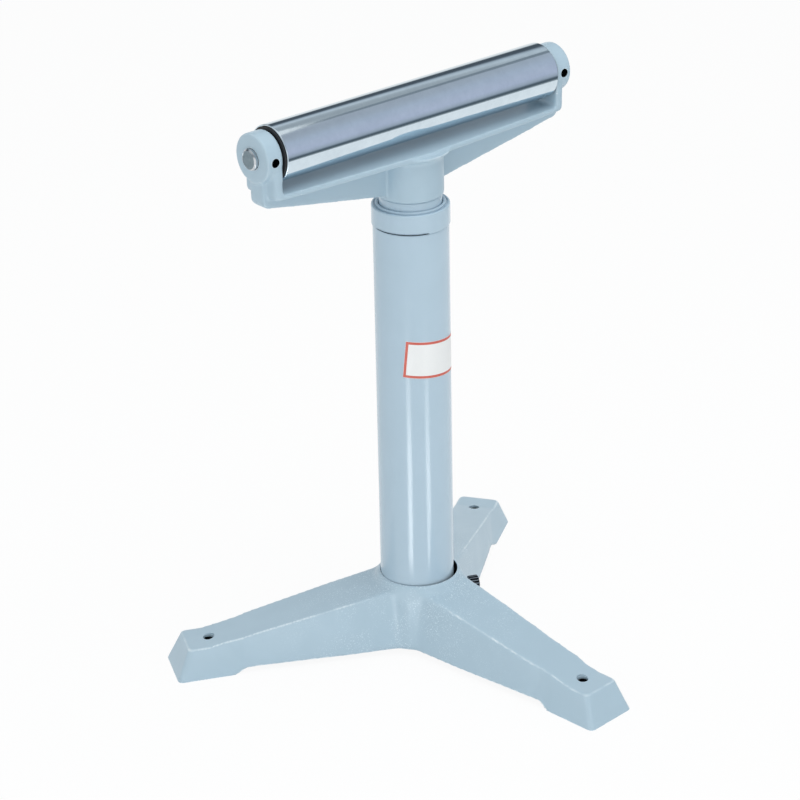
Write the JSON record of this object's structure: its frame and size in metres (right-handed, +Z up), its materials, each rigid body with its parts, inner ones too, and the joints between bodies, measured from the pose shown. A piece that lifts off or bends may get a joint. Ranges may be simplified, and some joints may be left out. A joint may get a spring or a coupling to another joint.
{
  "type": "roller stand",
  "caption": "Free-standing roller stand: cast tripod base, round telescoping column with height lock, and a steel roller on ball bearings in a cast yoke.",
  "frame": {"origin": "middle of the footprint's bounding box, on the floor", "axes": "+Z up along the column; +X along the roller, from its left end to its right end; -Y is the side that the set screws and the forward leg face"},
  "size_m": [0.4674, 0.417, 0.5838],
  "materials": {
    "cast_enamel": "pale blue-grey enamel over a rough iron casting",
    "enamel": "smooth glossy pale blue-grey enamel on steel tube",
    "ground_steel": "ground and polished bare steel",
    "bright_steel": "turned bare steel",
    "bearing_steel": "polished bearing steel",
    "black_oxide": "blackened alloy steel",
    "nitrile": "matt black nitrile rubber",
    "nylon": "black moulded nylon",
    "brass": "turned brass"
  },
  "bodies": {
    "base_and_column": {"tripod_base": "cast_enamel", "column_tube": "enamel", "column_collar": "enamel", "column_clamp_screw": "black_oxide"},
    "lock_pad_body": {"lock_pad": "brass"},
    "lock_screw_body": {"height_lock_screw": "black_oxide"},
    "guide_body": {"post_guide_ring": "nylon"},
    "head_body": {"inner_post": "enamel", "post_end_plug": "bright_steel", "yoke": "cast_enamel", "yoke_cross_pin": "bright_steel", "axle": "bright_steel", "left_axle_set_screw": "black_oxide", "right_axle_set_screw": "black_oxide", "left_bearing_inner_race": "bearing_steel", "right_bearing_inner_race": "bearing_steel", "left_bearing_spacer": "bright_steel", "right_bearing_spacer": "bright_steel"},
    "roller_body": {"roller_shell": "ground_steel", "left_bearing_outer_race": "bearing_steel", "right_bearing_outer_race": "bearing_steel", "left_end_seal": "nitrile", "right_end_seal": "nitrile"},
    "left_cage_body": {"left_ball_cage": "bearing_steel"},
    "right_cage_body": {"right_ball_cage": "bearing_steel"}
  },
  "joints": [
    {"name": "height_slide", "type": "slide", "parent": "base_and_column", "child": "guide_body", "axis": [0, 0, 1], "range_m": [0, 0.38]},
    {"name": "head_swivel", "type": "hinge", "parent": "guide_body", "child": "head_body", "pos_m": [0.00584, 0.04819, 0.47], "axis": [0, 0, 1], "continuous": true},
    {"name": "roller_spin", "type": "hinge", "parent": "head_body", "child": "roller_body", "pos_m": [0.00584, 0.04819, 0.5568], "axis": [1, 0, 0], "continuous": true},
    {"name": "left_cage_spin", "type": "hinge", "parent": "head_body", "child": "left_cage_body", "pos_m": [0.00584, 0.04819, 0.5568], "axis": [1, 0, 0], "continuous": true},
    {"name": "right_cage_spin", "type": "hinge", "parent": "head_body", "child": "right_cage_body", "pos_m": [0.00584, 0.04819, 0.5568], "axis": [1, 0, 0], "continuous": true},
    {"name": "lock_pad_slide", "type": "slide", "parent": "base_and_column", "child": "lock_pad_body", "axis": [0.6561, 0.7547, 0], "range_m": [0, 0.003]},
    {"name": "lock_screw_turn", "type": "hinge", "parent": "lock_pad_body", "child": "lock_screw_body", "pos_m": [0.03051, 0.07656, 0.4556], "axis": [0.6561, 0.7547, 0], "range_deg": [0, 722]}
  ],
  "couplings": [
    {"joint": "left_cage_spin", "follows": "roller_spin", "ratio": 0.59677},
    {"joint": "right_cage_spin", "follows": "roller_spin", "ratio": 0.59677},
    {"joint": "lock_screw_turn", "follows": "lock_pad_slide", "rad_per_m": 4188.8}
  ]
}
